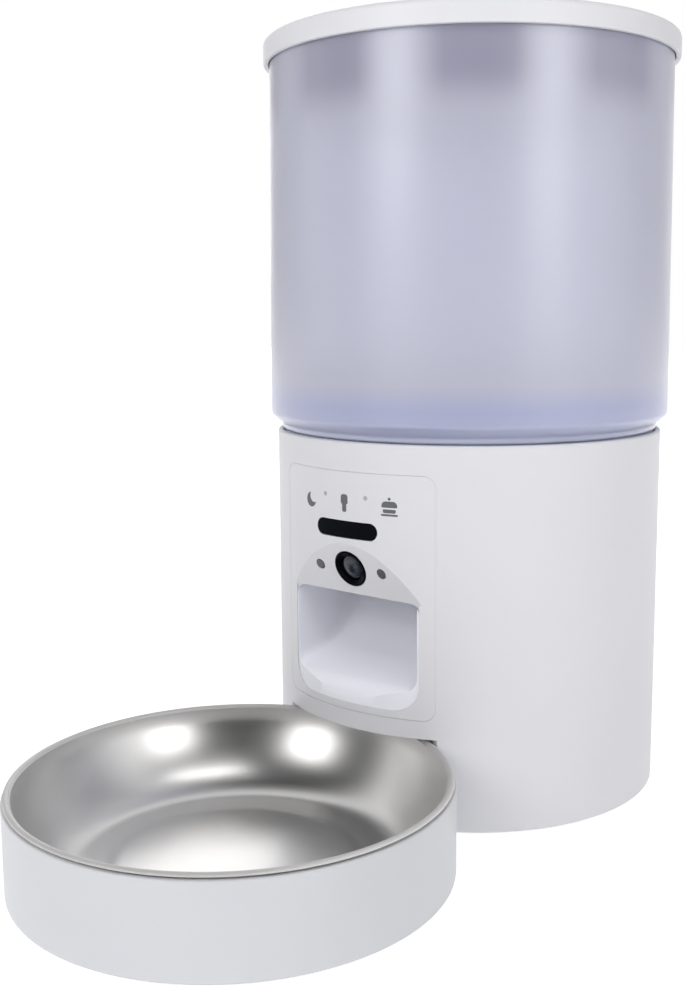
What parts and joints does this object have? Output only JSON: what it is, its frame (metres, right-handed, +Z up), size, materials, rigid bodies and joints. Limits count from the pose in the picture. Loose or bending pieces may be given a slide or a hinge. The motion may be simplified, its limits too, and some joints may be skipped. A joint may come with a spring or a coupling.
{
  "type": "camera pet feeder",
  "caption": "Automatic pet feeder with a camera: a frosted food tank on a round base whose rotor drops dry food down a chute into a steel bowl in a pull-out tray.",
  "frame": {"origin": "on the floor under the middle of the whole outline", "axes": "+Z up, the front with the outlet and the bowl towards -Y, +X to the right as seen from the front"},
  "size_m": [0.1782, 0.3232, 0.3228],
  "materials": {
    "white_shell": "satin",
    "white_inside": "matt",
    "chute_grey": "matt",
    "frosted": "frosted, lets light through",
    "steel": "satin",
    "plated": "plated",
    "gloss_black": "gloss",
    "lens_glass": "coated glass",
    "smoked": "gloss",
    "rubber": "matt",
    "silicone": "matt",
    "rotor_plastic": "matt",
    "circuit": "solder mask",
    "cell_sleeve": "gloss sleeve",
    "sachet": "matt"
  },
  "bodies": {
    "base": {"base_housing": "white_shell", "front_panel": "white_shell", "tray_dock": "white_inside", "bottom_plate": "white_inside", "battery_door": "white_inside", "rotor_well": "white_inside", "outlet_chute": "chute_grey", "battery_door_screw": "plated", "battery_contact_front": "plated", "battery_contact_rear": "plated", "gearbox": "plated", "motor": "plated", "motor_screw_1": "plated", "motor_screw_2": "plated", "base_screw_1": "plated", "base_screw_2": "plated", "base_screw_3": "plated", "base_screw_4": "plated", "display_window": "gloss_black", "camera_bezel": "gloss_black", "camera_lens": "lens_glass", "status_light_left": "smoked", "status_light_right": "smoked", "ir_light_left": "smoked", "ir_light_right": "smoked", "speaker": "smoked", "power_inlet": "smoked", "foot_1": "rubber", "foot_2": "rubber", "foot_3": "rubber", "foot_4": "rubber", "outlet_baffle": "silicone", "camera_module": "circuit", "ui_board": "circuit", "main_board": "circuit", "battery_cell_1": "cell_sleeve", "battery_cell_2": "cell_sleeve", "battery_cell_3": "cell_sleeve"},
    "rotor": {"metering_rotor": "rotor_plastic", "agitator": "rotor_plastic", "drive_coupler": "plated"},
    "tank": {"tank_shell": "frosted", "tank_funnel": "frosted"},
    "lid": {"lid": "white_shell", "lid_seal": "silicone", "desiccant_box": "white_inside", "desiccant_sachet": "sachet"},
    "desiccant_cap": {"desiccant_cap": "white_shell"},
    "tray": {"bowl_tray": "white_shell", "tray_pad_1": "rubber", "tray_pad_2": "rubber", "tray_pad_3": "rubber", "tray_pad_4": "rubber"},
    "bowl": {"steel_bowl": "steel"}
  },
  "joints": [
    {"name": "rotor_turn", "type": "hinge", "parent": "base", "child": "rotor", "pos_m": [0, 0.07245, 0.1205], "axis": [0, 0, 1], "continuous": true},
    {"name": "tank_lift", "type": "slide", "parent": "base", "child": "tank", "axis": [0, 0, 1], "range_m": [0, 0.1]},
    {"name": "lid_lift", "type": "slide", "parent": "tank", "child": "lid", "axis": [0, 0, 1], "range_m": [0, 0.06]},
    {"name": "desiccant_cap_twist", "type": "hinge", "parent": "lid", "child": "desiccant_cap", "pos_m": [0, 0.07245, 0.305], "axis": [0, 0, 1], "range_deg": [0, 40]},
    {"name": "tray_pull", "type": "slide", "parent": "base", "child": "tray", "axis": [0, -1, 0], "range_m": [0, 0.04]},
    {"name": "bowl_turn", "type": "hinge", "parent": "tray", "child": "bowl", "pos_m": [0, -0.07755, 0.005], "axis": [0, 0, 1], "continuous": true}
  ]
}
